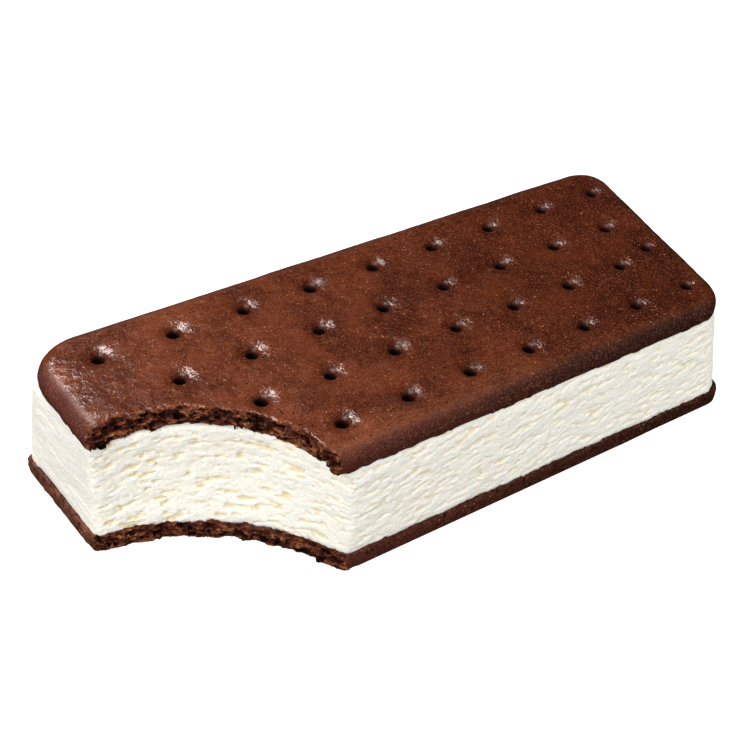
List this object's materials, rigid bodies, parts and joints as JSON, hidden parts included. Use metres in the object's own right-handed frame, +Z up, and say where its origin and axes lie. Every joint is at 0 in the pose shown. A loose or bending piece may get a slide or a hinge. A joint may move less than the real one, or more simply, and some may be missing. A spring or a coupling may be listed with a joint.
{
  "type": "ice cream sandwich",
  "caption": "Bitten ice cream sandwich: a block of vanilla ice cream between two soft chocolate wafers with rows of docking holes.",
  "frame": {"origin": "centre of the base, on the surface that the lower wafer rests on", "axes": "+X along the length, away from the bitten end; +Y across the width, away from the bite; +Z up through the layers"},
  "size_m": [0.1232, 0.0514, 0.0243],
  "materials": {
    "wafer_face": "soft satin, finely pitted, baked chocolate wafer",
    "wafer_under": "matt, finely pitted, baked chocolate wafer",
    "vanilla": "soft, slightly translucent, ridged vanilla ice cream"
  },
  "bodies": {
    "root": {"bottom_wafer": "wafer_under", "ice_cream": "vanilla", "top_wafer": "wafer_face"}
  },
  "joints": []
}
